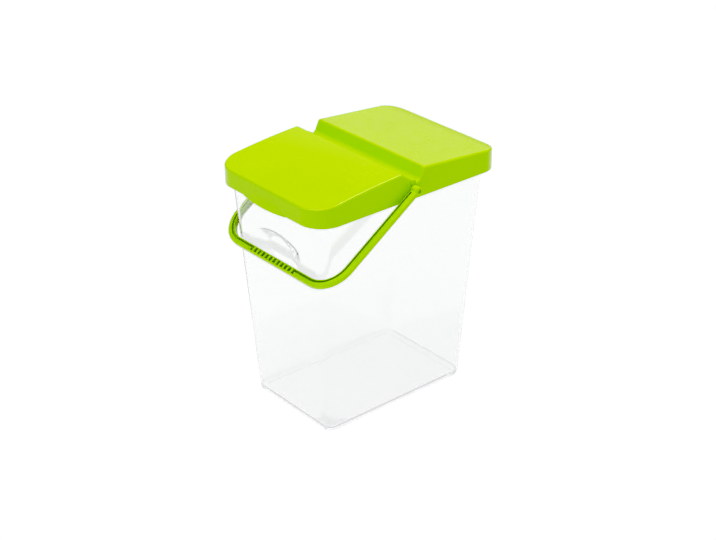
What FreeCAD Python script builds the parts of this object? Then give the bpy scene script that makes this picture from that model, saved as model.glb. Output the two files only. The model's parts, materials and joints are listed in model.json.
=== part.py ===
import FreeCAD, Part
import math
import os

from FreeCAD import Vector

# Storage box with a two-part lid and a carrying handle, in millimetres.
# X runs across the width, -Y is the front with the finger lip and the grip, +Z is up.
# The origin is the middle of the base, on the surface that the box stands on.

# Clear box: a tapered tub with a flanged rim
BASE_WIDTH = 141.4
BASE_DEPTH = 211.2
BASE_ROUND = 3.0
RIM_WIDTH = 167.5
RIM_DEPTH = 250.0
RIM_HEIGHT = 290.0
WALL = 2.0
WALL_CORNER = 14.0
FLOOR = 2.4
FOOT_HEIGHT = 1.5
FOOT_WIDTH = 9.0
FLANGE_THICKNESS = 2.4
RIM_LIP_DROP = 6.0
RIM_LIP_THICKNESS = 1.6

# Finger recess in the front wall, behind the handle's grip: a wide arch that narrows to a small dish
RECESS_TOP = 239.0
RECESS_HEIGHT = 46.0
RECESS_WIDTH = 84.0
RECESS_ARCH = 85.0
RECESS_CORNER = 17.0
RECESS_DEPTH = 5.0
DISH_MARGIN = 7.5
DISH_WIDTH = 40.0
DISH_ARCH = 23.0
DISH_CORNER = 12.0

# Lid: shell, skirt and the shape of its top
LID_OVERHANG = 10.0
LID_WALL = 2.0
LID_FRONT_CORNER = 30.0
LID_REAR_CORNER = 24.0
LID_EDGE_ROUND = 2.5
SKIRT_LAP = 12.0
SKIRT_GAP = 0.5
SEAT_GAP = 0.1
FRONT_RISE = 7.6
RIDGE_RISE = 20.6
FLAP_CROWN = 1.8
COVER_SLOPE = 3.6
TAIL_LENGTH = 22.0
TAIL_RADIUS = 40.0
RIDGE_ROUND = 2.6
FLAP_RIDGE_SPAN = 17.0
COVER_RIDGE_SPAN = 16.0
VALLEY_SPAN = 9.5
VALLEY_SLOPE = 25.0
VALLEY_ROUND = 8.0

# Flap hinge: a round barrel with end pintles on the flap, a trough and two cheeks on the cover
HINGE_SETBACK = 0.5
HINGE_RISE = 5.2
BARREL_RADIUS = 3.0
BARREL_END_GAP = 0.5
TROUGH_GAP = 0.4
TROUGH_THICKNESS = 1.5
TROUGH_TIP_ANGLE = 14.0
TROUGH_HEEL_ANGLE = 100.0
TROUGH_END_SPACE = 9.5
PINTLE_RADIUS = 1.6
PINTLE_LENGTH = 4.6
PINTLE_CLEARANCE = 0.05
CHEEK_RADIUS = 4.0
CHEEK_THICKNESS = 6.5
CHEEK_REACH = 12.0
CHEEK_CLEARANCE = 0.5

# Finger lip on the flap's front skirt
LIP_WIDTH = 80.0
LIP_DROP = 4.0
LIP_FLARE = 3.0
LIP_HEIGHT = 15.0
LIP_CORNER = 5.0

# Seat ribs that carry the lid on the rim's flange
RIB_THICKNESS = 1.6
RIB_REACH = 6.0
RIB_HEIGHT = 6.0
SIDE_RIB_SPACING = 50.0
SIDE_RIB_START = 42.0
END_RIB_SPACING = 90.0

# Handle: a flat U with a channel, a ribbed grip and an eye at each end
HANDLE_MARGIN = 16.4
HANDLE_BEND = 29.0
ARM_GAP = 0.7
ARM_WIDTH = 9.0
ARM_THICKNESS = 7.0
ARM_OUTER_BEVEL = 1.3
ARM_INNER_BEVEL = 0.5
CHANNEL_INNER_WALL = 1.4
CHANNEL_WIDTH = 2.6
CHANNEL_DEPTH = 4.4
CHANNEL_START = 11.0
GRIP_SLOTS = 12
GRIP_PITCH = 6.9
GRIP_SLOT_WIDTH = 3.7
GRIP_SLOT_LENGTH = 5.6
EYE_RADIUS = 7.0
REST_GAP = 0.3

# Handle pivot: clear studs on the rim, in blind eyes that show a dimple on the outside
PIVOT_DROP = 1.5
STUD_RADIUS = 3.0
STUD_CLEARANCE = 0.05
STUD_ROOT = 5.0
STUD_REACH = 6.0
STUD_END_GAP = 0.5
STUD_SLOT_GAP = 0.7
DIMPLE_RADIUS = 2.4
DIMPLE_DEPTH = 1.4
LUG_WIDTH = 11.0
LUG_DEPTH = 10.0

# Places that follow from the sizes above
LID_WIDTH = RIM_WIDTH + 2 * LID_OVERHANG
LID_DEPTH = RIM_DEPTH + 2 * LID_OVERHANG
RIM_INSET = LID_WALL + SKIRT_GAP
RIM_EDGE = LID_WIDTH / 2 - RIM_INSET
SKIRT_Z = RIM_HEIGHT - SKIRT_LAP
RIDGE_Z = RIM_HEIGHT + RIDGE_RISE
HINGE_Z = RIM_HEIGHT + HINGE_RISE
PIVOT_Z = RIM_HEIGHT - PIVOT_DROP
CHEEK_FACE = LID_WIDTH / 2 - CHEEK_THICKNESS
BARREL_HALF = CHEEK_FACE - BARREL_END_GAP
STUD_SLOT = STUD_RADIUS + STUD_SLOT_GAP
ARM_INNER = LID_WIDTH / 2 + ARM_GAP
ARM_OUTER = ARM_INNER + ARM_WIDTH
HANDLE_REACH = LID_DEPTH / 2 + HANDLE_MARGIN
HANDLE_INNER_REACH = HANDLE_REACH - ARM_WIDTH / 2

# How far a cutting body runs past the surface that it cuts, and how near two places count as one
OVERCUT = 20.0
TOUCH = 0.001

X_AXIS = Vector(1, 0, 0)
Z_AXIS = Vector(0, 0, 1)


def on_both_sides(shape):
    return [shape, shape.mirror(Vector(), X_AXIS)]


def plan_outline(width, depth, front_radius, rear_radius, z):
    """Closed rounded rectangle about the Z axis, with its own radius at the front and rear corners."""
    corners = ((1, -1, front_radius, -90), (1, 1, rear_radius, 0),
               (-1, 1, rear_radius, 90), (-1, -1, front_radius, 180))
    arcs = []
    for across, along, radius, start in corners:
        centre = Vector(across * (width / 2 - radius), along * (depth / 2 - radius), z)
        circle = Part.Circle(centre, Z_AXIS, radius)
        arcs.append(Part.ArcOfCircle(circle, math.radians(start), math.radians(start + 90)))
    edges = []
    for arc, following in zip(arcs, arcs[1:] + arcs[:1]):
        edges += [arc.toShape(), Part.makeLine(arc.EndPoint, following.StartPoint)]
    return Part.Wire(edges)


def lid_plan(inset, low, high):
    """Upright prism on the lid's outline, drawn in by an inset."""
    outline = plan_outline(LID_WIDTH - 2 * inset, LID_DEPTH - 2 * inset,
                           LID_FRONT_CORNER - inset, LID_REAR_CORNER - inset, low)
    return Part.Face(outline).extrude(Z_AXIS * (high - low))


def on_lid_edge(point):
    """True where a point lies on the lid's outline."""
    radius = LID_FRONT_CORNER if point.y < 0 else LID_REAR_CORNER
    across = abs(point.x) - (LID_WIDTH / 2 - radius)
    along = abs(point.y) - (LID_DEPTH / 2 - radius)
    distance = math.hypot(max(across, 0), max(along, 0)) + min(max(across, along), 0)
    return abs(distance - radius) < TOUCH


def half_width(z):
    return (BASE_WIDTH + (RIM_WIDTH - BASE_WIDTH) * z / RIM_HEIGHT) / 2


def half_depth(z):
    return (BASE_DEPTH + (RIM_DEPTH - BASE_DEPTH) * z / RIM_HEIGHT) / 2


def tapered_block(low, high, inset):
    """The tub's form between two heights, drawn in by an inset, with round corners and lower edge."""
    (low_x, low_y), (high_x, high_y) = [(half_width(z) - inset, half_depth(z) - inset) for z in (low, high)]
    block = Part.makeWedge(-low_x, low, -low_y, -high_y, -high_x, low_x, high, low_y, high_y, high_x)
    block.rotate(Vector(), X_AXIS, 90)
    uprights = [edge for edge in block.Edges if edge.BoundBox.ZLength > WALL]
    block = block.makeFillet(WALL_CORNER - inset, uprights)
    return block.makeFillet(BASE_ROUND, [edge for edge in block.Edges if edge.BoundBox.ZMax < low + TOUCH])


def arched_outline(width, height, arch, corner, depth):
    """Outline at a depth behind the wall, about its own middle: arched above, rounded below."""
    across = width / 2 - corner
    arch_centre = height / 2 - arch
    shoulder = arch_centre + math.sqrt((arch - corner) ** 2 - across ** 2)
    heel = corner - height / 2
    lean = math.atan2(shoulder - arch_centre, across)
    stretches = ((0, arch_centre, arch, lean, math.pi - lean),
                 (-across, shoulder, corner, math.pi - lean, math.pi),
                 (-across, heel, corner, math.pi, 1.5 * math.pi),
                 (across, heel, corner, -math.pi / 2, 0),
                 (across, shoulder, corner, 0, lean))
    turns = []
    for x, y, radius, begin, end in stretches:
        turns.append(Part.ArcOfCircle(Part.Circle(Vector(x, y, depth), Z_AXIS, radius), begin, end))
    edges = []
    for turn, following in zip(turns, turns[1:] + turns[:1]):
        edges.append(turn.toShape())
        if turn.EndPoint.distanceToPoint(following.StartPoint) > TOUCH:
            edges.append(Part.makeLine(turn.EndPoint, following.StartPoint))
    return Part.Wire(edges)


def finger_recess(setback):
    """Dished pocket in the front wall, set back for the wall that follows it inside."""
    arch = (RECESS_WIDTH, RECESS_HEIGHT, RECESS_ARCH, RECESS_CORNER)
    dish = (DISH_WIDTH, RECESS_HEIGHT - 2 * DISH_MARGIN, DISH_ARCH, DISH_CORNER)
    sections = [arched_outline(*arch, setback - WALL), arched_outline(*arch, setback),
                arched_outline(*dish, setback + RECESS_DEPTH)]
    pocket = Part.makeLoft(sections, True, True)
    lean = math.degrees(math.atan2(half_depth(RIM_HEIGHT) - half_depth(0), RIM_HEIGHT))
    pocket.rotate(Vector(), X_AXIS, -90)
    pocket.rotate(Vector(), Vector(0, 1, 0), 180)
    pocket.rotate(Vector(), X_AXIS, lean)
    middle = RECESS_TOP - RECESS_HEIGHT / 2
    pocket.translate(Vector(0, -half_depth(middle), middle))
    return pocket


def rim_flange(hollow):
    """Flat flange round the rim with a turned-down lip, under the lid's skirt."""
    outer = (LID_WIDTH - 2 * RIM_INSET, LID_DEPTH - 2 * RIM_INSET)
    corners = (LID_FRONT_CORNER - RIM_INSET, LID_REAR_CORNER - RIM_INSET)
    low = RIM_HEIGHT - RIM_LIP_DROP
    lip = Part.Face(plan_outline(*outer, *corners, low)).extrude(Z_AXIS * RIM_LIP_DROP)
    under = plan_outline(*[size - 2 * RIM_LIP_THICKNESS for size in outer],
                         *[radius - RIM_LIP_THICKNESS for radius in corners], low)
    under_height = RIM_LIP_DROP - FLANGE_THICKNESS
    return lip.cut(Part.Face(under).extrude(Z_AXIS * under_height)).cut(hollow)


def pivot_stud():
    """Lug under the flange and the round stud that carries one eye of the handle."""
    wall_middle = half_width(RIM_HEIGHT - LUG_DEPTH) - WALL / 2
    lug = Part.makeBox(RIM_EDGE - wall_middle, LUG_WIDTH, LUG_DEPTH,
                       Vector(wall_middle, HINGE_SETBACK - LUG_WIDTH / 2, RIM_HEIGHT - LUG_DEPTH))
    start = RIM_EDGE - STUD_ROOT
    stud = Part.makeCylinder(STUD_RADIUS, ARM_INNER + STUD_REACH - start,
                             Vector(start, HINGE_SETBACK, PIVOT_Z), X_AXIS)
    return lug.fuse(stud)


def clear_box():
    """The tub: tapered walls, foot ring, finger recess, flanged rim and the two pivot studs."""
    outside = tapered_block(0, RIM_HEIGHT, 0)
    hollow = tapered_block(FOOT_HEIGHT + FLOOR, RIM_HEIGHT + OVERCUT, WALL)
    foot_corner = WALL_CORNER - FOOT_WIDTH
    foot = Part.Face(plan_outline(BASE_WIDTH - 2 * FOOT_WIDTH, BASE_DEPTH - 2 * FOOT_WIDTH,
                                  foot_corner, foot_corner, 0)).extrude(Z_AXIS * FOOT_HEIGHT)
    tub = outside.cut(finger_recess(0)).cut(hollow.cut(finger_recess(WALL))).cut(foot)
    return tub.fuse([rim_flange(hollow)] + on_both_sides(pivot_stud())).removeSplitter()


class Line:
    """A straight stretch of a profile in (y, z), known by its outward normal and its distance."""

    def __init__(self, point, normal_angle):
        self.normal = (math.cos(normal_angle), math.sin(normal_angle))
        self.offset = point[0] * self.normal[0] + point[1] * self.normal[1]

    def at_y(self, y, inset):
        return (y, (self.offset - inset - y * self.normal[0]) / self.normal[1])

    def foot(self, point, inset):
        gap = self.offset - inset - point[0] * self.normal[0] - point[1] * self.normal[1]
        return (point[0] + gap * self.normal[0], point[1] + gap * self.normal[1])


class Bow:
    """A round stretch of a profile in (y, z) that bulges upwards, known by its centre and radius."""

    def __init__(self, centre, radius):
        self.centre = centre
        self.radius = radius

    def at_y(self, y, inset):
        radius = self.radius - inset
        return (y, self.centre[1] + math.sqrt(radius * radius - (y - self.centre[0]) ** 2))

    def towards(self, point, inset):
        scale = (self.radius - inset) / math.dist(point, self.centre)
        return tuple(c + scale * (p - c) for p, c in zip(point, self.centre))


def crown(start, end, rise):
    """Long shallow bow from one point to another that stands above the straight line by a rise."""
    length = math.dist(start, end)
    radius = (length * length / 4 + rise * rise) / (2 * rise)
    along = ((end[0] - start[0]) / length, (end[1] - start[1]) / length)
    drop = radius - rise
    return Bow(((start[0] + end[0]) / 2 + drop * along[1], (start[1] + end[1]) / 2 - drop * along[0]), radius)


def bow_corner(bow, line, near):
    """Centre of the ridge round that joins a bow to a line, on the side nearest to a point."""
    ny, nz = line.normal
    reach = line.offset - RIDGE_ROUND
    base = (reach * ny, reach * nz)
    dy, dz = base[0] - bow.centre[0], base[1] - bow.centre[1]
    along = -dy * nz + dz * ny
    short = math.sqrt(along * along - dy * dy - dz * dz + (bow.radius - RIDGE_ROUND) ** 2)
    choices = [(base[0] - t * nz, base[1] + t * ny) for t in (-along - short, -along + short)]
    return min(choices, key=lambda centre: math.dist(centre, near))


def line_corner(first, second, outward):
    """Centre of the round between two lines, the given distance outside both of them."""
    (ay, az), (by, bz) = first.normal, second.normal
    a, b = first.offset + outward, second.offset + outward
    det = ay * bz - az * by
    return ((a * bz - b * az) / det, (ay * b - by * a) / det)


def point3(point):
    return Vector(0, point[0], point[1])


def round_edge(centre, radius, start, end):
    """Arc in the YZ plane about a centre, through the middle of the short way round."""
    middle = [(s + e) / 2 - c for s, e, c in zip(start, end, centre)]
    scale = radius / math.hypot(*middle)
    through = tuple(c + scale * m for c, m in zip(centre, middle))
    return Part.Arc(point3(start), point3(through), point3(end)).toShape()


def closed_profile(edges, start, end):
    """Face under a chain of edges, closed well below the skirt."""
    low = SKIRT_Z - OVERCUT
    down, back = (end[0], low), (start[0], low)
    edges += [Part.makeLine(point3(end), point3(down)), Part.makeLine(point3(down), point3(back)),
              Part.makeLine(point3(back), point3(start))]
    return Part.Face(Part.Wire(edges))


def flap_chamfer():
    """The flap's rear slope: from its ridge to the top of the hinge barrel."""
    span = (-FLAP_RIDGE_SPAN, RIDGE_Z - HINGE_Z)
    lean = math.atan2(span[1], span[0]) - math.acos(BARREL_RADIUS / math.hypot(*span))
    return Line((HINGE_SETBACK - FLAP_RIDGE_SPAN, RIDGE_Z), lean)


def flap_profile(inset):
    """Side view of the flap: crowned top, ridge and the slope down to the hinge."""
    ridge = (HINGE_SETBACK - FLAP_RIDGE_SPAN, RIDGE_Z)
    top = crown((-LID_DEPTH / 2, RIM_HEIGHT + FRONT_RISE), ridge, FLAP_CROWN)
    chamfer = flap_chamfer()
    crest = bow_corner(top, chamfer, ridge)
    start = top.at_y(-LID_DEPTH / 2 - LID_WALL, inset)
    top_end, slope_start = top.towards(crest, inset), chamfer.foot(crest, inset)
    end = chamfer.at_y(HINGE_SETBACK + CHEEK_REACH, inset)
    edges = [round_edge(top.centre, top.radius - inset, start, top_end),
             round_edge(crest, RIDGE_ROUND - inset, top_end, slope_start),
             Part.makeLine(point3(slope_start), point3(end))]
    return closed_profile(edges, start, end)


def cover_profile(inset):
    """Side view of the cover: valley, front wall, ridge, sloping top and a tail that droops at the rear."""
    ridge = (HINGE_SETBACK + COVER_RIDGE_SPAN, RIDGE_Z)
    slope = math.radians(VALLEY_SLOPE)
    tip = math.radians(TROUGH_TIP_ANGLE)
    trough_radius = BARREL_RADIUS + TROUGH_GAP
    brink = (HINGE_SETBACK + trough_radius * math.cos(tip), HINGE_Z - trough_radius * math.sin(tip))
    valley = Line(brink, slope + math.pi / 2)
    fold = valley.at_y(HINGE_SETBACK + VALLEY_SPAN, 0)
    wall_angle = math.atan2(ridge[1] - fold[1], ridge[0] - fold[0])
    wall = Line(ridge, wall_angle + math.pi / 2)
    top = Line(ridge, math.radians(90 - COVER_SLOPE))
    bend = top.at_y(LID_DEPTH / 2 - TAIL_LENGTH, 0)
    tail = Bow(tuple(b - TAIL_RADIUS * n for b, n in zip(bend, top.normal)), TAIL_RADIUS)
    hollow = line_corner(wall, valley, VALLEY_ROUND)
    crest = line_corner(wall, top, -RIDGE_ROUND)
    start = valley.at_y(HINGE_SETBACK - CHEEK_RADIUS, inset)
    valley_end, wall_start = valley.foot(hollow, inset), wall.foot(hollow, inset)
    wall_end, top_start = wall.foot(crest, inset), top.foot(crest, inset)
    top_end = top.foot(tail.centre, inset)
    end = tail.at_y(LID_DEPTH / 2 + LID_WALL, inset)
    edges = [Part.makeLine(point3(start), point3(valley_end)),
             round_edge(hollow, VALLEY_ROUND + inset, valley_end, wall_start),
             Part.makeLine(point3(wall_start), point3(wall_end)),
             round_edge(crest, RIDGE_ROUND - inset, wall_end, top_start),
             Part.makeLine(point3(top_start), point3(top_end)),
             round_edge(tail.centre, TAIL_RADIUS - inset, top_end, end)]
    return closed_profile(edges, start, end)


def lid_block(profile, inset):
    """Solid under a lid profile and inside the lid's outline, drawn in by an inset."""
    across = LID_WIDTH + 2 * LID_WALL
    bar = profile(inset).extrude(X_AXIS * across)
    bar.translate(X_AXIS * (-across / 2))
    return bar.common(lid_plan(inset, SKIRT_Z - 2 * OVERCUT, RIDGE_Z + OVERCUT))


def lid_form(profile):
    """Outer form of a lid half, with the edge round its top rounded."""
    block = lid_block(profile, 0)
    rim = []
    for edge in block.Edges:
        first, last = edge.Vertexes[0].Point, edge.Vertexes[-1].Point
        middle = edge.valueAt((edge.FirstParameter + edge.LastParameter) / 2)
        upright = math.hypot(first.x - last.x, first.y - last.y) < TOUCH
        if not upright and middle.z > SKIRT_Z and on_lid_edge(middle):
            rim.append(edge)
    return block.makeFillet(LID_EDGE_ROUND, rim)


def lid_shell(form, profile):
    """Thin shell of a lid half, open below and cut off level at the skirt's lower edge."""
    below = Part.makeBox(2 * LID_WIDTH, 2 * LID_DEPTH, 2 * OVERCUT,
                         Vector(-LID_WIDTH, -LID_DEPTH, SKIRT_Z - 2 * OVERCUT))
    return form.cut(lid_block(profile, LID_WALL)).cut(below)


def slab(y_low, y_high):
    """Everything between two planes across the lid."""
    return Part.makeBox(2 * LID_WIDTH, y_high - y_low, 4 * RIM_HEIGHT, Vector(-LID_WIDTH, y_low, -RIM_HEIGHT))


def hinge_rod(radius, start, end):
    """Round bar on the hinge axis between two places along X."""
    return Part.makeCylinder(radius, end - start, Vector(start, HINGE_SETBACK, HINGE_Z), X_AXIS)


def stud_slot():
    """Room for both studs: a slot that is open below, so the lid lifts straight off."""
    start = RIM_EDGE - STUD_ROOT - STUD_SLOT_GAP
    length = LID_WIDTH / 2 + OVERCUT - start
    arch = Part.makeCylinder(STUD_SLOT, length, Vector(start, HINGE_SETBACK, PIVOT_Z), X_AXIS)
    legs = Part.makeBox(length, 2 * STUD_SLOT, OVERCUT,
                        Vector(start, HINGE_SETBACK - STUD_SLOT, PIVOT_Z - OVERCUT))
    return on_both_sides(arch.fuse(legs))


def seat_ribs(form, direction, end):
    """Ribs inside a skirt that stand on the rim's flange: pairs along the sides and one pair at the end."""
    low = RIM_HEIGHT + SEAT_GAP
    ribs = []
    for number in range(2):
        y = direction * (SIDE_RIB_START + number * SIDE_RIB_SPACING)
        rib = Part.makeBox(RIB_REACH, RIB_THICKNESS, RIB_HEIGHT,
                           Vector(LID_WIDTH / 2 - LID_WALL - RIB_REACH, y - RIB_THICKNESS / 2, low))
        ribs += on_both_sides(rib)
    end_rib = Part.makeBox(RIB_THICKNESS, RIB_REACH, RIB_HEIGHT,
                           Vector(END_RIB_SPACING / 2, min(end, end - direction * RIB_REACH), low))
    ribs += on_both_sides(end_rib)
    return [rib.common(form) for rib in ribs]


def finger_lip():
    """Flared lip on the front skirt: part of a cone whose lower edge bows out and down."""
    bow = ((LIP_WIDTH / 2) ** 2 + LIP_FLARE ** 2) / (2 * LIP_FLARE)
    axis_y = -LID_DEPTH / 2 - LIP_FLARE + bow
    low, high = SKIRT_Z - LIP_DROP, SKIRT_Z - LIP_DROP + LIP_HEIGHT
    spots = [(0, low), (LID_WALL, low), (LID_WALL + LIP_FLARE, high), (LIP_FLARE, high)]
    section = [Vector(0, axis_y - bow + y, z) for y, z in spots]
    face = Part.Face(Part.makePolygon(section + section[:1]))
    sweep = 2 * math.degrees(math.asin(LIP_WIDTH / 2 / bow))
    face.rotate(Vector(0, axis_y, 0), Z_AXIS, -sweep / 2)
    lip = face.revolve(Vector(0, axis_y, 0), Z_AXIS, sweep)
    front = plan_outline(LIP_WIDTH, 2 * (high - low), LIP_CORNER, LIP_CORNER, 0)
    window = Part.Face(front).extrude(Z_AXIS * LID_DEPTH)
    window.rotate(Vector(), X_AXIS, 90)
    window.translate(Vector(0, 0, high))
    return lip.common(window).cut(lid_plan(LID_WALL, low - LIP_DROP, high + LIP_DROP))


def front_flap():
    """Hinged front half of the lid, with the finger lip and the barrel that it turns on."""
    form = lid_form(flap_profile)
    chamfer = flap_chamfer()
    tangent_y = HINGE_SETBACK + BARREL_RADIUS * chamfer.normal[0]
    shell = lid_shell(form, flap_profile).common(slab(-LID_DEPTH, tangent_y))
    room = CHEEK_RADIUS + CHEEK_CLEARANCE
    cheek_room = on_both_sides(hinge_rod(room, BARREL_HALF, LID_WIDTH / 2 + OVERCUT))
    behind = on_both_sides(Part.makeBox(OVERCUT, OVERCUT, 4 * OVERCUT,
                                        Vector(BARREL_HALF, HINGE_SETBACK, HINGE_Z - 2 * OVERCUT)))
    shell = shell.cut(cheek_room + behind + stud_slot())
    barrel = hinge_rod(BARREL_RADIUS, -BARREL_HALF, BARREL_HALF)
    pintles = hinge_rod(PINTLE_RADIUS, -BARREL_HALF - PINTLE_LENGTH, BARREL_HALF + PINTLE_LENGTH)
    ribs = seat_ribs(form, -1, -LID_DEPTH / 2 + LID_WALL)
    return shell.fuse([barrel, pintles, finger_lip()] + ribs).removeSplitter()


def hinge_trough():
    """Curved lip of the cover that lies under and behind the flap's barrel."""
    half = LID_WIDTH / 2 - TROUGH_END_SPACE
    inner = BARREL_RADIUS + TROUGH_GAP
    outer = inner + TROUGH_THICKNESS
    start, end = math.radians(-TROUGH_HEEL_ANGLE), math.radians(-TROUGH_TIP_ANGLE)
    spot = [(HINGE_SETBACK + r * math.cos(a), HINGE_Z + r * math.sin(a))
            for r, a in ((inner, start), (inner, end), (outer, end), (outer, start))]
    axis = (HINGE_SETBACK, HINGE_Z)
    edges = [round_edge(axis, inner, spot[0], spot[1]), Part.makeLine(point3(spot[1]), point3(spot[2])),
             round_edge(axis, outer, spot[2], spot[3]), Part.makeLine(point3(spot[3]), point3(spot[0]))]
    trough = Part.Face(Part.Wire(edges)).extrude(X_AXIS * (2 * half))
    trough.translate(X_AXIS * -half)
    return trough


def hinge_cheek(form):
    """Solid end of the cover's valley with a round nose that holds one pintle of the flap."""
    nose = hinge_rod(CHEEK_RADIUS, CHEEK_FACE, LID_WIDTH / 2)
    block = Part.makeBox(CHEEK_THICKNESS, CHEEK_REACH, 2 * CHEEK_REACH,
                         Vector(CHEEK_FACE, HINGE_SETBACK, HINGE_Z - CHEEK_RADIUS)).common(form)
    hole = hinge_rod(PINTLE_RADIUS + PINTLE_CLEARANCE, CHEEK_FACE - LID_WALL,
                     BARREL_HALF + PINTLE_LENGTH + BARREL_END_GAP)
    return nose.fuse(block).cut(hole)


def rear_cover():
    """Fixed rear half of the lid, with the trough and cheeks of the flap's hinge."""
    form = lid_form(cover_profile)
    shell = lid_shell(form, cover_profile).common(slab(HINGE_SETBACK + STUD_SLOT, LID_DEPTH))
    barrel_room = hinge_rod(BARREL_RADIUS + TROUGH_GAP, -CHEEK_FACE, CHEEK_FACE)
    cheeks = on_both_sides(hinge_cheek(form))
    ribs = seat_ribs(form, 1, LID_DEPTH / 2 - LID_WALL)
    shell = shell.cut(barrel_room).fuse([hinge_trough()] + cheeks + ribs)
    return shell.cut(stud_slot()).removeSplitter()


def u_band(inner_half, inner_reach, inner_radius, width, front, thickness):
    """Flat U that hangs from z = 0: two arms, two bends and a crossbar, front face at y = front."""
    rails = []
    for offset in (width, 0):
        half, reach, radius = inner_half + offset, inner_reach + offset, inner_radius + offset
        turn = radius * math.sqrt(0.5)
        spots = [(half, 0), (half, radius - reach), (half - radius + turn, radius - reach - turn),
                 (half - radius, -reach)]
        rails.append([Vector(x, front, z) for x, z in spots])
    edges = []
    for rail in rails:
        mirrored = [Vector(-spot.x, spot.y, spot.z) for spot in rail]
        for top, bend, through, bottom in (rail, mirrored):
            edges += [Part.makeLine(top, bend), Part.Arc(bend, through, bottom).toShape()]
        edges.append(Part.makeLine(rail[3], mirrored[3]))
    for sign in (1, -1):
        ends = [Vector(sign * rail[0].x, front, 0) for rail in rails]
        edges.append(Part.makeLine(*ends))
    face = Part.Face(Part.Wire(Part.__sortEdges__(edges)))
    return face.extrude(Vector(0, thickness, 0))


def rail_edges(band, half, reach, radius):
    """The two long edge chains of a U on the rail with the given half width."""
    chosen = []
    for edge in band.Edges:
        middle = edge.valueAt((edge.FirstParameter + edge.LastParameter) / 2)
        across = abs(middle.x) - (half - radius)
        down = -middle.z - (reach - radius)
        distance = math.hypot(max(across, 0), max(down, 0)) + min(max(across, down), 0)
        lies_along = abs(edge.Vertexes[0].Y - edge.Vertexes[-1].Y) < TOUCH
        if lies_along and abs(distance - radius) < TOUCH:
            chosen.append(edge)
    return chosen


def rest_angle(setback):
    """How far below level the handle hangs when its crossbar meets the wall, in degrees."""
    taper = (half_depth(RIM_HEIGHT) - half_depth(0)) / RIM_HEIGHT
    along = HANDLE_INNER_REACH + taper * ARM_THICKNESS / 2
    down = taper * HANDLE_INNER_REACH - ARM_THICKNESS / 2
    wall = half_depth(PIVOT_Z) + setback + REST_GAP
    return math.degrees(math.atan2(down, along) + math.acos(wall / math.hypot(along, down)))


def carry_handle():
    """The bail: channelled U with a ribbed grip, turned to where it rests on the front wall."""
    front = -ARM_THICKNESS / 2
    band = u_band(ARM_INNER, HANDLE_INNER_REACH, HANDLE_BEND, ARM_WIDTH, front, ARM_THICKNESS)
    band = band.makeChamfer(ARM_OUTER_BEVEL, rail_edges(band, ARM_OUTER, HANDLE_INNER_REACH + ARM_WIDTH,
                                                        HANDLE_BEND + ARM_WIDTH))
    band = band.makeChamfer(ARM_INNER_BEVEL, rail_edges(band, ARM_INNER, HANDLE_INNER_REACH, HANDLE_BEND))
    channel = u_band(ARM_INNER + CHANNEL_INNER_WALL, HANDLE_INNER_REACH + CHANNEL_INNER_WALL,
                     HANDLE_BEND + CHANNEL_INNER_WALL, CHANNEL_WIDTH, front, CHANNEL_DEPTH)
    below_eyes = Part.makeBox(4 * ARM_OUTER, 4 * ARM_THICKNESS, 2 * HANDLE_REACH,
                              Vector(-2 * ARM_OUTER, -2 * ARM_THICKNESS, -2 * HANDLE_REACH - CHANNEL_START))
    cuts = [channel.common(below_eyes)]
    rib_span = GRIP_PITCH * (GRIP_SLOTS - 1) + GRIP_SLOT_WIDTH
    slot_top = -HANDLE_INNER_REACH - CHANNEL_INNER_WALL
    for number in range(GRIP_SLOTS):
        corner = Vector(number * GRIP_PITCH - rib_span / 2, front, slot_top - GRIP_SLOT_LENGTH)
        cuts.append(Part.makeBox(GRIP_SLOT_WIDTH, CHANNEL_DEPTH, GRIP_SLOT_LENGTH, corner))
    rib_fill = Part.makeBox(rib_span, CHANNEL_DEPTH, CHANNEL_WIDTH,
                            Vector(-rib_span / 2, front, slot_top - CHANNEL_WIDTH))
    cuts[0] = cuts[0].cut(rib_fill)
    eye = Part.makeCylinder(EYE_RADIUS, ARM_WIDTH, Vector(ARM_INNER, 0, 0), X_AXIS)
    bore = Part.makeCylinder(STUD_RADIUS + STUD_CLEARANCE, STUD_REACH + STUD_END_GAP,
                             Vector(ARM_INNER, 0, 0), X_AXIS)
    dimple = Part.makeCylinder(DIMPLE_RADIUS, DIMPLE_DEPTH, Vector(ARM_OUTER - DIMPLE_DEPTH, 0, 0), X_AXIS)
    handle = band.cut(cuts).fuse(on_both_sides(eye)).cut(on_both_sides(bore) + on_both_sides(dimple))
    handle = handle.removeSplitter()
    handle.rotate(Vector(), X_AXIS, rest_angle(HINGE_SETBACK) - 90)
    handle.translate(Vector(0, HINGE_SETBACK, PIVOT_Z))
    return handle


PIECES = {
    "clear_box": clear_box,
    "rear_cover": rear_cover,
    "front_flap": front_flap,
    "carry_handle": carry_handle,
}


def main():
    os.makedirs("parts", exist_ok=True)
    for name, make in PIECES.items():
        shape = make()
        solids = shape.Solids
        print(f"{name}: {len(solids)} solid, valid {shape.isValid()}, {shape.Volume / 1000:.1f} cm3")
        shape = solids[0] if len(solids) == 1 else shape
        shape.exportStep(f"parts/{name}.step")
    swing = 180 + rest_angle(HINGE_SETBACK) + rest_angle(-HINGE_SETBACK)
    print(f"handle hangs {rest_angle(HINGE_SETBACK):.2f} degrees below level, swings {swing:.1f} degrees")


main()
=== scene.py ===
# %% [markdown]
# # A clear storage box with a lime lid, dressed for a product picture
#
# The box comes as four moulded pieces: a clear tub, the fixed rear cover of the lid, the hinged front flap
# and the carry handle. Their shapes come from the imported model, which is loaded here as a fixed frame. This
# lesson gives each piece a clean surface, moves a few edges by a millimetre or two to sit on the
# photograph's outlines, adds a real plastic finish, and then sets up the floor, the light and the camera.

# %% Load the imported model
import json
import math

import bmesh
import bpy
from mathutils import Matrix, Vector


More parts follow.
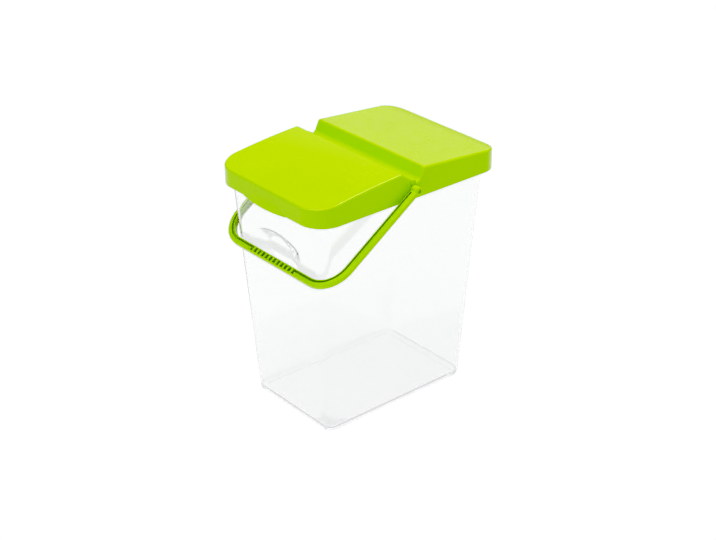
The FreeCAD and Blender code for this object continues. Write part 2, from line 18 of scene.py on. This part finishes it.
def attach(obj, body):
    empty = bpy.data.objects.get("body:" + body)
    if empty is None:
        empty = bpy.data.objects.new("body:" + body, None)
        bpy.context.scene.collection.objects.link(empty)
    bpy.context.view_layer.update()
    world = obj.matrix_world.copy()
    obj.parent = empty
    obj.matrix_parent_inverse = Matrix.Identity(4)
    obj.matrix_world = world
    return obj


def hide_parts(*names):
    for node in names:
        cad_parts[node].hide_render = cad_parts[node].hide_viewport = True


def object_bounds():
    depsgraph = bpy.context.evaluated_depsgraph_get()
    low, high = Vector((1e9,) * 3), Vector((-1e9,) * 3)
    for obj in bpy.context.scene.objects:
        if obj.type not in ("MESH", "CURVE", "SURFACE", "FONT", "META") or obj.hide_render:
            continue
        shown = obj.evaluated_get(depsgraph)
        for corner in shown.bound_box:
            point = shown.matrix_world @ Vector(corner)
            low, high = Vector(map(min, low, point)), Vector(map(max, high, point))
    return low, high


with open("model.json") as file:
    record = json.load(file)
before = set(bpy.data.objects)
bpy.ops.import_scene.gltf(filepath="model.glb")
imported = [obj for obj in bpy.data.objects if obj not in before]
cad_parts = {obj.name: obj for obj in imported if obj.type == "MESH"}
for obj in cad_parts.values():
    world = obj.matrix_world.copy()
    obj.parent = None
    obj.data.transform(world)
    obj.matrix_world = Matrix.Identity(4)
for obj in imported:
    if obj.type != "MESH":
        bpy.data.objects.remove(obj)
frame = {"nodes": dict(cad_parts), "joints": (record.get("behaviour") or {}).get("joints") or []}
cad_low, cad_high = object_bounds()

scene = bpy.context.scene
print("pieces in the frame:", sorted(frame["nodes"]))
print("whole object, metres:", [round(b - a, 4) for a, b in zip(cad_low, cad_high)])

# %% [markdown]
# ## Welded skins over the four mouldings
#
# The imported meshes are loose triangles, so every triangle shades by itself and a round corner looks cut.
# Modelling the four forms again would only risk new errors, so each piece here is a copy of its packed
# mesh, welded into one skin. Flat neighbours are dissolved into whole faces, the truly sharp creases are
# marked, and a Weighted Normal modifier keeps the large flat faces flat while the rounds beside them flow.
# The copy then stands for its node.

# %% A helper that welds one moulding
WELD_DISTANCE = 0.00001
FLAT_ANGLE = math.radians(0.3)
CREASE_ANGLE = math.radians(38)


def moulded_skin(name, node, body):
    """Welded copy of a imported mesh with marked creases, riding on the node's body in its place."""
    skin = bmesh.new()
    skin.from_mesh(frame["nodes"][node].data)
    loose = len(skin.verts)
    bmesh.ops.remove_doubles(skin, verts=skin.verts, dist=WELD_DISTANCE)
    bmesh.ops.dissolve_limit(skin, angle_limit=FLAT_ANGLE, verts=skin.verts, edges=skin.edges)
    for face in skin.faces:
        face.smooth = True
    for edge in skin.edges:
        edge.smooth = edge.calc_face_angle(0) < CREASE_ANGLE
    mesh = bpy.data.meshes.new(name)
    skin.to_mesh(mesh)
    print(f"{name}: {loose} loose corners became {len(skin.verts)}, in {len(skin.faces)} faces")
    skin.free()
    piece = bpy.data.objects.new(name, mesh)
    scene.collection.objects.link(piece)
    normals = piece.modifiers.new("flat faces stay flat", "WEIGHTED_NORMAL")
    normals.keep_sharp = True
    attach(piece, body)
    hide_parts(node)
    return piece


# %% Weld the four pieces
tub = moulded_skin("tub_skin", "clear_box", "box")
cover = moulded_skin("cover_skin", "rear_cover", "lid")
flap = moulded_skin("flap_skin", "front_flap", "flap")
handle = moulded_skin("handle_skin", "carry_handle", "handle")

# %% [markdown]
# ## Slim ends on the handle
#
# In the photograph each arm keeps its own thickness right up to the pivot, and the dark channel runs on
# almost to the pivot too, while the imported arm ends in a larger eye. A new handle isn't needed for that. On
# the welded skin the points of the eye's rim slide onto a smaller circle: those beside the arm stay on the
# arm's own faces, and the others share out the rest of the turn. The end of the channel moves up behind
# them.

# %% Draw in the eyes and lengthen the channel
HANG_ANGLE = math.radians(33.86)
ARM_HALF = 0.0035
EYE_RADIUS = 0.007
SLIM_RADIUS = 0.005
CHANNEL_END = 0.011
SLIM_CHANNEL_END = 0.0056
NEAR = 0.00006

swing = next(joint for joint in frame["joints"] if joint["name"] == "handle_swing")
pivot = Vector(swing["pos_m"])
along_arm = Vector((0, -math.cos(HANG_ANGLE), -math.sin(HANG_ANGLE)))
across_arm = Vector((0, -math.sin(HANG_ANGLE), math.cos(HANG_ANGLE)))
wide_start = math.asin(ARM_HALF / EYE_RADIUS)
slim_start = math.asin(ARM_HALF / SLIM_RADIUS)


def slim_place(along, across):
    """New place of a point of the eye's rim or of the channel's end, in the plane that the arm swings in."""
    if abs(along - CHANNEL_END) < NEAR:
        return SLIM_CHANNEL_END, across
    if abs(math.hypot(along, across) - EYE_RADIUS) > NEAR:
        return along, across
    if along > 0 and abs(across) < ARM_HALF + NEAR:
        return math.sqrt(SLIM_RADIUS ** 2 - across ** 2), across
    share = (math.acos(along / EYE_RADIUS) - wide_start) / (math.pi - wide_start)
    turn = slim_start + share * (math.pi - slim_start)
    return SLIM_RADIUS * math.cos(turn), math.copysign(SLIM_RADIUS * math.sin(turn), across)


moved = 0
for vertex in handle.data.vertices:
    offset = vertex.co - pivot
    along, across = offset.dot(along_arm), offset.dot(across_arm)
    place = slim_place(along, across)
    if place != (along, across):
        centre = Vector((vertex.co.x, pivot.y, pivot.z))
        vertex.co = centre + place[0] * along_arm + place[1] * across_arm
        moved += 1
print("points moved on the handle's ends:", moved)

# %% [markdown]
# ## A straighter back on the cover
#
# Laid over the photograph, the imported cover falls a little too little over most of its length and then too
# much over its last two centimetres, so its far corner looks pinched. Only heights have to change: every
# point of the top shell, outside and inside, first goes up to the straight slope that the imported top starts
# with, and then down again by a steeper slope with a weaker bend at the end.

# %% Lower the top and lift its tail
RIDGE_Y = 0.0165
BEND_Y = 0.113
REAR_Y = 0.135
PACKED_SLOPE = math.radians(3.6)
PACKED_BEND_RADIUS = 0.04
TOP_SHELL_Z = 0.291
FALL_AT_BEND = 0.0018
FALL_OF_TAIL = 0.0023


def packed_fall(y):
    """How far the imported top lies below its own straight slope."""
    past = max(y - BEND_Y, 0)
    lean = math.asin(math.sin(PACKED_SLOPE) + past / PACKED_BEND_RADIUS)
    arc = PACKED_BEND_RADIUS * (math.cos(PACKED_SLOPE) - math.cos(lean))
    return arc - past * math.tan(PACKED_SLOPE)


def wanted_fall(y):
    """How far the top has to lie below that slope to fit the photograph."""
    tail = max(y - BEND_Y, 0) / (REAR_Y - BEND_Y)
    return FALL_AT_BEND * (y - RIDGE_Y) / (BEND_Y - RIDGE_Y) + FALL_OF_TAIL * tail ** 2


for vertex in cover.data.vertices:
    if vertex.co.z > TOP_SHELL_Z and vertex.co.y > RIDGE_Y:
        vertex.co.z += packed_fall(vertex.co.y) - wanted_fall(vertex.co.y)
rear_change = packed_fall(REAR_Y) - wanted_fall(REAR_Y)
print("the cover's rear edge goes up by", round(rear_change * 1000, 2), "mm")

# %% [markdown]
# ## A deeper skirt and a softer lip
#
# The same comparison shows the lid's skirt reaching about two millimetres further down, and the finger lip
# as a shallow smile that dies out in the skirt's edge instead of a tongue with two ends. The lowest points
# of both lid halves go down by that much. On the lip they go to a new edge, which hangs lowest in the
# middle and runs out to almost nothing at each end, and the points above it stretch along up to the lip's
# top, so that no face folds over.

# %% Lower the skirt and taper the lip
PACKED_SKIRT_Z = 0.278
SKIRT_Z = 0.2762
PACKED_LIP_DROP = 0.004
LIP_DROP = 0.0022
LIP_HALF = 0.0435
LIP_REACH = 0.0405
LIP_BACK_Y = -0.1325
LIP_TOP_Z = 0.289


def lip_height(x, z):
    """New height of a point of the lip, or of the skirt that carries it."""
    if z > PACKED_SKIRT_Z:
        share = max(LIP_TOP_Z - z, 0) / (LIP_TOP_Z - PACKED_SKIRT_Z)
        return z - share * (PACKED_SKIRT_Z - SKIRT_Z)
    depth = (PACKED_SKIRT_Z - z) / PACKED_LIP_DROP
    return SKIRT_Z - LIP_DROP * depth * (1 - (x / LIP_HALF) ** 2)


lowered = 0
for piece in (cover, flap):
    for vertex in piece.data.vertices:
        x, y, z = vertex.co
        if piece is flap and abs(x) < LIP_REACH and y < LIP_BACK_Y:
            vertex.co.z = lip_height(x, z)
        elif z < PACKED_SKIRT_Z + NEAR:
            vertex.co.z = SKIRT_Z
        lowered += vertex.co.z < z
print("points lowered along the skirt:", lowered)

# %% [markdown]
# ## Softened edges in the finger recess
#
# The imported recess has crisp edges, and in clear plastic a crisp edge draws a thin black line. A moulded
# one is rounded, so its light spreads into a soft grey crescent. The edges that bound the recess get a
# bevel weight, and a Bevel modifier rounds those alone.

# %% Round the recess
RECESS_LOW = Vector((-0.045, -0.14, 0.188))
RECESS_HIGH = Vector((0.045, -0.1, 0.242))
RECESS_FOLD = math.radians(14)
RECESS_ROUND = 0.0009
RECESS_SEGMENTS = 3

shell = bmesh.new()
shell.from_mesh(tub.data)
weight = shell.edges.layers.float.new("bevel_weight_edge")
folds = 0
for edge in shell.edges:
    inside = all(low < c < high for vertex in edge.verts
                 for low, c, high in zip(RECESS_LOW, vertex.co, RECESS_HIGH))
    if inside and edge.calc_face_angle(0) > RECESS_FOLD:
        edge[weight] = 1
        edge.smooth = True
        folds += 1
shell.to_mesh(tub.data)
shell.free()
softened = tub.modifiers.new("soft recess", "BEVEL")
softened.limit_method = "WEIGHT"
softened.width = RECESS_ROUND
softened.segments = RECESS_SEGMENTS
tub.modifiers.move(len(tub.modifiers) - 1, 0)
print("edges rounded in the recess:", folds)

# %% [markdown]
# ## Node helpers
#
# All the finishes read Object coordinates. The pieces sit at the origin, so one metre in the pattern is one
# metre on the object, and the pattern stays on the plastic when a joint turns.

# %% Helpers for node materials
PATTERN_LOW = 0.3
PATTERN_HIGH = 0.7


def new_material(name):
    """Node material with a Principled shader, and its node tree."""
    material = bpy.data.materials.new(name)
    material.use_nodes = True
    return material, material.node_tree, material.node_tree.nodes["Principled BSDF"]


def object_noise(tree, scale, detail):
    """Noise over the object's own coordinates, in waves per metre."""
    place = tree.nodes.new("ShaderNodeTexCoord")
    noise = tree.nodes.new("ShaderNodeTexNoise")
    noise.inputs["Scale"].default_value = scale
    noise.inputs["Detail"].default_value = detail
    tree.links.new(place.outputs["Object"], noise.inputs["Vector"])
    return noise.outputs["Fac"]


def between(tree, factor, low, high):
    """A number that runs from low to high over the middle of a pattern's range."""
    spread = tree.nodes.new("ShaderNodeMapRange")
    spread.inputs["From Min"].default_value = PATTERN_LOW
    spread.inputs["From Max"].default_value = PATTERN_HIGH
    spread.inputs["To Min"].default_value = low
    spread.inputs["To Max"].default_value = high
    tree.links.new(factor, spread.inputs["Value"])
    return spread.outputs["Result"]


def colours(tree, factor, first, second):
    """A colour that runs from the first to the second as a pattern does. The second may be a socket."""
    blend = tree.nodes.new("ShaderNodeMix")
    blend.data_type = "RGBA"
    blend.inputs["A"].default_value = (*first, 1)
    if isinstance(second, bpy.types.NodeSocket):
        tree.links.new(second, blend.inputs["B"])
    else:
        blend.inputs["B"].default_value = (*second, 1)
    tree.links.new(factor, blend.inputs["Factor"])
    return blend.outputs["Result"]


def relief(tree, height, distance, strength):
    """Bump from a height pattern, in metres of relief."""
    bump = tree.nodes.new("ShaderNodeBump")
    bump.inputs["Distance"].default_value = distance
    bump.inputs["Strength"].default_value = strength
    tree.links.new(height, bump.inputs["Height"])
    return bump.outputs["Normal"]


# %% [markdown]
# ## Lime plastic
#
# The lid and the handle are opaque polypropylene, dyed right through, with a satin gloss. The dye is never
# perfectly even, so a slow noise wanders between two close greens, and a finer one lets the roughness
# wander a little. Narrow places, such as the grip's slots and the handle's channel, get painted shade: an
# ambient occlusion node finds them and mixes a darker green into the colour, deeper than the shade that
# the light itself gives there.

# %% Lime plastic
LIME = (0.29, 0.58, 0.0)
LIME_DEEP = (0.278, 0.56, 0.0)
CREVICE_PAINTED_SHADE = (0.19, 0.45, 0.0)
PAINTED_SHADE_REACH = 0.005
DYE_WAVES, DYE_DETAIL = 14, 2
SATIN_WAVES, SATIN_DETAIL = 60, 3
SATIN_ROUGHNESS = (0.22, 0.28)
LIME_IOR = 1.49
LIME_SHEEN = 0.35

lime, lime_tree, lime_shader = new_material("lime_plastic_satin")
dye = between(lime_tree, object_noise(lime_tree, DYE_WAVES, DYE_DETAIL), 0, 1)
# Painted shade: ambient occlusion finds the slots, the channel and other narrow places and darkens their
# green.
open_sky = lime_tree.nodes.new("ShaderNodeAmbientOcclusion")
open_sky.only_local = True
open_sky.inputs["Distance"].default_value = PAINTED_SHADE_REACH
painted_shade_openness = between(lime_tree, open_sky.outputs["AO"], 0, 1)
dyed = colours(lime_tree, dye, LIME, LIME_DEEP)
# The random dye tone, with painted shade mixed in where the occlusion is low.
dye_with_painted_shade = colours(lime_tree, painted_shade_openness, CREVICE_PAINTED_SHADE, dyed)
lime_tree.links.new(dye_with_painted_shade, lime_shader.inputs["Base Color"])
satin = between(lime_tree, object_noise(lime_tree, SATIN_WAVES, SATIN_DETAIL), *SATIN_ROUGHNESS)
lime_tree.links.new(satin, lime_shader.inputs["Roughness"])
lime_shader.inputs["IOR"].default_value = LIME_IOR
lime_shader.inputs["Specular IOR Level"].default_value = LIME_SHEEN
for piece in (cover, flap, handle):
    piece.data.materials.clear()
    piece.data.materials.append(lime)
print("lime plastic on", [piece.name for piece in (cover, flap, handle)])

# %% [markdown]
# ## Clear plastic
#
# The tub is a clear moulding about two millimetres thick. Because its skin is a closed solid with both wall
# faces, a transmissive shader bends the light as the real wall does, and the rim and the base ring go dark
# by themselves where the light runs along the wall. A slow, shallow waviness stands for the flow of the
# melt in the mould.

# %% Clear plastic
CLEAR = (0.972, 0.977, 0.973)
CLEAR_IOR = 1.46
HAZE_WAVES, HAZE_DETAIL = 30, 3
HAZE_ROUGHNESS = (0.0, 0.015)
FLOW_WAVES, FLOW_DETAIL = 18, 1
FLOW_RELIEF = 0.0003
FLOW_STRENGTH = 0.08

clear, clear_tree, clear_shader = new_material("clear_plastic_gloss")
clear_shader.inputs["Base Color"].default_value = (*CLEAR, 1)
clear_shader.inputs["Transmission Weight"].default_value = 1
clear_shader.inputs["IOR"].default_value = CLEAR_IOR
haze = between(clear_tree, object_noise(clear_tree, HAZE_WAVES, HAZE_DETAIL), *HAZE_ROUGHNESS)
clear_tree.links.new(haze, clear_shader.inputs["Roughness"])
flow = object_noise(clear_tree, FLOW_WAVES, FLOW_DETAIL)
waviness = relief(clear_tree, flow, FLOW_RELIEF, FLOW_STRENGTH)
clear_tree.links.new(waviness, clear_shader.inputs["Normal"])
tub.data.materials.clear()
tub.data.materials.append(clear)
print("clear plastic on", tub.name)

# %% [markdown]
# ## Floor, light and sky
#
# The picture is a plain product shot: white all round, with hardly a shadow. Such pictures are taken on a
# lit table, so the floor here glows softly by itself and lights the sides from below. A dim, even sky and a
# large soft box above do most of the rest, and a smaller box in front opens up the faces that look forward.
# Three boxes are there for one effect each. The flat rear cover mirrors the low one behind and washes pale,
# while the sloping flap, which mirrors a higher and darker place, keeps its full colour. The box over the
# rear draws the bright line along the flap's edge, and the small one at the right puts a sheen on the
# handle's arm. From a low camera the sky shows over the floor's far edge, so rays straight from the camera
# get a backdrop as white as the floor instead.

# %% Floor
FLOOR_RADIUS = 9.0
FLOOR_SIDES = 96
FLOOR_ROUGHNESS = 0.9
FLOOR_WHITE = 0.03
FLOOR_GLOW = 1.3

disc = bmesh.new()
bmesh.ops.create_circle(disc, cap_ends=True, segments=FLOOR_SIDES, radius=FLOOR_RADIUS)
bmesh.ops.translate(disc, verts=disc.verts, vec=(0, 0, cad_low[2]))
floor_mesh = bpy.data.meshes.new("studio_floor")
disc.to_mesh(floor_mesh)
disc.free()
floor = bpy.data.objects.new("studio_floor", floor_mesh)
scene.collection.objects.link(floor)
paper, paper_tree, paper_shader = new_material("pale_paper")
paper_shader.inputs["Base Color"].default_value = (FLOOR_WHITE, FLOOR_WHITE, FLOOR_WHITE, 1)
paper_shader.inputs["Roughness"].default_value = FLOOR_ROUGHNESS
paper_shader.inputs["Specular IOR Level"].default_value = 0
paper_shader.inputs["Emission Color"].default_value = (1, 1, 1, 1)
paper_shader.inputs["Emission Strength"].default_value = FLOOR_GLOW
floor.data.materials.append(paper)
print("floor radius", FLOOR_RADIUS, "m")

# %% Dim, even sky
SKY_STEPS = ((-90, 0.2), (0, 0.2), (90, 0.35))

world = bpy.data.worlds.new("studio_sky")
scene.world = world
world.use_nodes = True
sky = world.node_tree
place = sky.nodes.new("ShaderNodeTexCoord")
parts = sky.nodes.new("ShaderNodeSeparateXYZ")
rise = sky.nodes.new("ShaderNodeMapRange")
rise.inputs["From Min"].default_value = -1
ramp = sky.nodes.new("ShaderNodeValToRGB")
sky.links.new(place.outputs["Generated"], parts.inputs["Vector"])
sky.links.new(parts.outputs["Z"], rise.inputs["Value"])
sky.links.new(rise.outputs["Result"], ramp.inputs["Fac"])
sky.links.new(ramp.outputs["Color"], sky.nodes["Background"].inputs["Color"])
while len(ramp.color_ramp.elements) < len(SKY_STEPS):
    ramp.color_ramp.elements.new(1)
for element, (elevation, grey) in zip(ramp.color_ramp.elements, SKY_STEPS):
    element.position = (math.sin(math.radians(elevation)) + 1) / 2
    element.color = (grey, grey, grey, 1)
backdrop = sky.nodes.new("ShaderNodeBackground")
backdrop.inputs["Color"].default_value = (1, 1, 1, 1)
backdrop.inputs["Strength"].default_value = FLOOR_GLOW
rays = sky.nodes.new("ShaderNodeLightPath")
choice = sky.nodes.new("ShaderNodeMixShader")
which_ray, for_the_others, for_the_camera = choice.inputs
sky.links.new(rays.outputs["Is Camera Ray"], which_ray)
sky.links.new(sky.nodes["Background"].outputs["Background"], for_the_others)
sky.links.new(backdrop.outputs["Background"], for_the_camera)
sky.links.new(choice.outputs["Shader"], sky.nodes["World Output"].inputs["Surface"])
print("sky steps", SKY_STEPS)

# %% Soft boxes
SOFT_BOXES = {
    "soft_box_above": {"place": (0.1, -0.5, 2.4), "size": (2.2, 2.2), "power": 38},
    "soft_box_right": {"place": (2.1, -1.1, 0.5), "size": (0.6, 0.5), "power": 8},
    "soft_box_front": {"place": (-0.2, -1.25, 2.3), "size": (1.2, 1.2), "power": 24},
    "soft_box_behind": {"place": (-1.5, 1.4, 0.95), "size": (1.7, 0.8), "power": 4.2},
    "soft_box_edge": {"place": (0.35, 0.95, 2.4), "size": (0.9, 0.9), "power": 40},
}
middle = (Vector(cad_low) + Vector(cad_high)) / 2
for name, box in SOFT_BOXES.items():
    lamp = bpy.data.lights.new(name, "AREA")
    lamp.shape = "RECTANGLE"
    lamp.size, lamp.size_y = box["size"]
    lamp.energy = box["power"]
    light = bpy.data.objects.new(name, lamp)
    light.location = box["place"]
    light.rotation_euler = (middle - light.location).to_track_quat("-Z", "Y").to_euler()
    scene.collection.objects.link(light)
    print(name, "at", box["place"])

# %% [markdown]
# ## Camera
#
# The camera's place was worked out from the lid's and the base's corners in the photograph: fifty degrees
# round from the front, looking down by nearly twenty-eight degrees, and turned by a third of a degree about
# its own axis.

# %% Camera
PICTURE_WIDTH = 716
FOCAL_PIXELS = 1501.44
VIEW_AZIMUTH = math.radians(50.07)
VIEW_ELEVATION = math.radians(27.67)
VIEW_ROLL = math.radians(-0.352)
VIEW_DISTANCE = 1.7823
VIEW_TARGET = Vector((0, -0.0017, 0.1511))
SENSOR_WIDTH = 36

back = Vector((math.sin(VIEW_AZIMUTH) * math.cos(VIEW_ELEVATION),
               -math.cos(VIEW_AZIMUTH) * math.cos(VIEW_ELEVATION), math.sin(VIEW_ELEVATION)))
level = Vector((math.cos(VIEW_AZIMUTH), math.sin(VIEW_AZIMUTH), 0))
right = math.cos(VIEW_ROLL) * level + math.sin(VIEW_ROLL) * back.cross(level)
up = back.cross(right)
lens = bpy.data.cameras.new("product_camera")
lens.sensor_fit = "HORIZONTAL"
lens.sensor_width = SENSOR_WIDTH
lens.lens = SENSOR_WIDTH * FOCAL_PIXELS / PICTURE_WIDTH
camera = bpy.data.objects.new("product_camera", lens)
camera.matrix_world = Matrix.Translation(VIEW_TARGET + VIEW_DISTANCE * back) @ Matrix(
    (right, up, back)).transposed().to_4x4()
scene.collection.objects.link(camera)
scene.camera = camera
print("camera at", [round(c, 3) for c in camera.matrix_world.translation])
print("lens", round(lens.lens, 2), "mm")

# %% [markdown]
# ## Film
#
# A camera's film rolls off its bright tones, so that a pale lid still has colour on a white page. The view
# settings do the same here: white is set above one, and a curve for all the channels bends over on the way
# to it. A second curve, for blue alone, holds back the weak blues, which keeps the lime deep.

# %% Film curves
FILM_WHITE = 1.31
FILM_CURVE = ((0.3, 0.3), (0.6, 0.58), (1.1, 0.79))
BLUE_TOE = ((0.05, 0), (0.14, 0.08), (0.3, 0.3))
BLUE, ALL_CHANNELS = 2, 3

scene.view_settings.view_transform = "Standard"
scene.view_settings.use_curve_mapping = True
film = scene.view_settings.curve_mapping
film.white_level = (FILM_WHITE, FILM_WHITE, FILM_WHITE)
for level_in, level_out in FILM_CURVE:
    film.curves[ALL_CHANNELS].points.new(level_in / FILM_WHITE, level_out)
for level_in, level_out in BLUE_TOE:
    film.curves[BLUE].points.new(level_in, level_out)
film.update()
print("film white at", FILM_WHITE)
